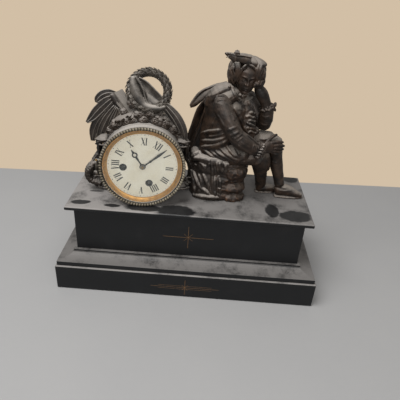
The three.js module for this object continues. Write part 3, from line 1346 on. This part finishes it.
function rightArm(swell = 0) {
  const w = WRIST_RIGHT;
  const arm = armBars(SHOULDER_RIGHT, ELBOW_RIGHT, w, [0, 0, 1], swell);
  const palm = bar([
    [...w, 4.4, 4.4], [97, -15, 92, 4.2, 7], [104, -12, 96.5, 3.4, 7.4],
  ], [0, 0, 1], 6, swell);
  const finger = (y, x, z) => bar([
    [102, y, 98, FINGER_RADIUS], [111, y + 1, 98, FINGER_RADIUS], [x, y + 2, z, FINGER_RADIUS * 0.8],
  ], [0, 1, 0], 5, swell);
  const thumb = bar([
    [97, -10, 97, FINGER_RADIUS], [106, -5, 99.5, FINGER_RADIUS * 0.8],
  ], [0, 0, 1], 5, swell);
  return joined([...arm, palm, finger(-18, 114, 91), finger(-14.5, 118, 90), finger(-11, 119, 90), thumb]);
}

function leftArm(swell = 0) {
  const w = WRIST_LEFT;
  const arm = armBars(SHOULDER_LEFT, ELBOW_LEFT, w, [1, 0, 0], swell);
  const palm = bar([[...w, 4.2, 4.6], [82, -8, 148, 3.6, 6], [77, -11, 157, 3.2, 6]], [1, 0, 0.4], 6, swell);
  const finger = (dx, dy, dz) => bar([
    [77 + dx, -11 + dy, 158, FINGER_RADIUS], [74 + dx, -10 + dy, 166 + dz, FINGER_RADIUS * 0.85],
  ], [1, 0, 0], 5, swell);
  return joined([...arm, palm, finger(-2, -3, -3), finger(0, 0, 1), finger(2, 3, 0)]);
}

function head(swell = 0) {
  const [x, y, z] = HEAD;
  const neck = bar([
    [48, -5, 142, NECK_RADIUS * 1.15], [53, -4, 152, NECK_RADIUS], [57, -3, 162, NECK_RADIUS],
  ], [1, 0, 0], 7, swell);
  const skull = egg([x, y + 1, z + 1], [13, 15, 16], swell, 0, 10, 6);
  const jaw = bar([[x, y - 7, z - 3, 9, 8], [x - 0.5, y - 10, z - 12, 6, 6]], [1, 0, 0], 7, swell);
  const hair = bar([
    [x - 15, y + 2, z - 8, 6, 5], [x - 16, y + 4, z + 5, 6, 6], [x - 8, y + 12, z + 9, 8, 7],
    [x + 7, y + 13, z + 9, 8, 7], [x + 15, y + 5, z + 5, 6, 6], [x + 15, y + 3, z - 7, 6, 5],
  ], [0, 0, 1], 6, swell);
  const nape = egg([x, y + 7, z], [15, 13, 14], swell, 0, 8, 5);
  return joined([neck, skull, jaw, hair, nape]);
}

function beret(swell = 0) {
  const puff = egg([61, 1, 188], [21, 18, 5.6], swell, 0, 12, 5);
  const band = egg([60, -1, 184], [16, 16.5, 5], swell, 0, 10, 5);
  return puff.add(band);
}

function plume(swell = 0) {
  return bar([
    [52, -8, 191, 3, 2], [43, -9, 194, 5.4, 2.6], [35, -7, 195.5, 6, 2.6],
    [31, -3, 195, 4.6, 2.4], [34, 2, 194, 3, 2],
  ], [0.2, 0.9, -0.2], 8, swell);
}

function cape(swell = 0) {
  const t = CAPE_THICKNESS;
  const fall = bar([
    [40, 8, 150, 22, t], [26, 12, 142, 27, t * 1.4], [14, 16, 122, 28, t * 1.5], [7, 20, 96, 26, t * 1.5],
    [1, 23, 72, 24, t * 1.4], [-2, 25, 52, 22, t * 1.2],
  ], BODY_SIDE, 8, swell);
  const collar = bar([
    [28, -18, 151, 9, t], [34, -8, 154, 11, t * 1.2], [44, 6, 152, 11, t * 1.2], [58, 20, 147, 10, t],
  ], [0.788, -0.616, 0.2], 6, swell);
  const flap = bar([
    [30, -10, 152, 8, t], [14, -3, 146, 9, t], [1, 3, 134, 8, t], [-8, 6, 124, 5, t * 0.8],
  ], [-0.2, 0.9, 0.3], 6, swell);
  return joined([fall, collar, flap]);
}

function rockSeat(swell = 0) {
  const body = bar([
    [36, 1, 6, 36, 28], [36, 1, 22, 35, 26], [37, 1, 40, 38, 26], [34, 1, 52, 36, 25],
  ], [1, 0, 0], 12, swell);
  const folds = bar([[0, -15, 8, 7, 7], [-3, -13, 30, 7, 7], [-2, -10, 52, 7, 6]], [1, 0, 0], 6, swell);
  const front = bar([[44, -23, 6, 10, 6], [44, -21, 30, 8, 5], [42, -19, 52, 8, 5]], [1, 0, 0], 6, swell);
  const foot = bar([[64, -17, 5, 10, 7], [66, -10, 26, 7, 7]], [1, 0, 0], 6, swell);
  return joined([body, folds, front, foot]);
}

// The rock as it lies in the case's frame
function rockInCase(swell) {
  return rockSeat(swell).translate([-CASE_X, -CASE_Y, 0]).rotate([0, 0, -CASE_TURN_DEG]);
}

function caseInFigure(solid) {
  return solid.rotate([0, 0, CASE_TURN_DEG]).translate([CASE_X, CASE_Y, 0]);
}

function addFigure(root) {
  const group = new THREE.Group();
  group.position.z = SLAB_TOP;
  root.add(group);
  const g = CAST_GAP;
  const under = block([-300, -300, -60], [300, 300, 0]);
  const shoes = block([-300, -300, -60], [300, 300, SEAT_GAP]);
  const straps = caseInFigure(joined([
    disc(DRUM_RADIUS + 3.5, DRUM_FRONT - 12, 90, 32).translate([0, 0, DRUM_AXIS_HEIGHT]),
    block([40, -26, 30], [64, 6, 92]),
  ]));
  const add = (name, solid, cutters, look) => {
    piece(group, name, largest(cutBy(solid, cutters)), look, CAST);
  };
  add('torso', torso(), [], BRONZE);
  add('right_leg', rightLeg(), [torso(g), shoes], BRONZE);
  add('left_leg', leftLeg(), [torso(g), rightLeg(g), shoes], BRONZE);
  add('head', head(), [torso(g)], DUSTY_BRONZE);
  add('left_arm', leftArm(), [torso(g), leftLeg(g), head(g)], BRONZE);
  add('right_arm', rightArm(), [torso(g), leftLeg(g), rightLeg(g), head(g), leftArm(g)], BRONZE);
  add('beret', beret(), [head(g), leftArm(g)], DUSTY_BRONZE);
  add('plume', plume(), [beret(g), head(g)], DUSTY_BRONZE);
  const besideCape = caseInFigure(joined([palmRight(g), scrollFoot(1, g), sideStrap(1, g)]));
  add('cape', cape(), [torso(g), head(g), rightArm(g), leftArm(g), straps, besideCape], BRONZE);
  add('rock_seat', rockSeat(), [
    torso(g), rightLeg(g), leftLeg(g), cape(g), straps, under, rightArm(g),
  ], BRONZE);
}

const root = new THREE.Group();
addBase(root);
const caseGroup = new THREE.Group();
caseGroup.position.set(CASE_X, CASE_Y, SLAB_TOP);
caseGroup.rotation.z = CASE_TURN_DEG * DEG;
root.add(caseGroup);
const drumGroup = addCase(caseGroup);
addMovement(drumGroup);
addTrophy(caseGroup);
addFigure(root);

export default root;
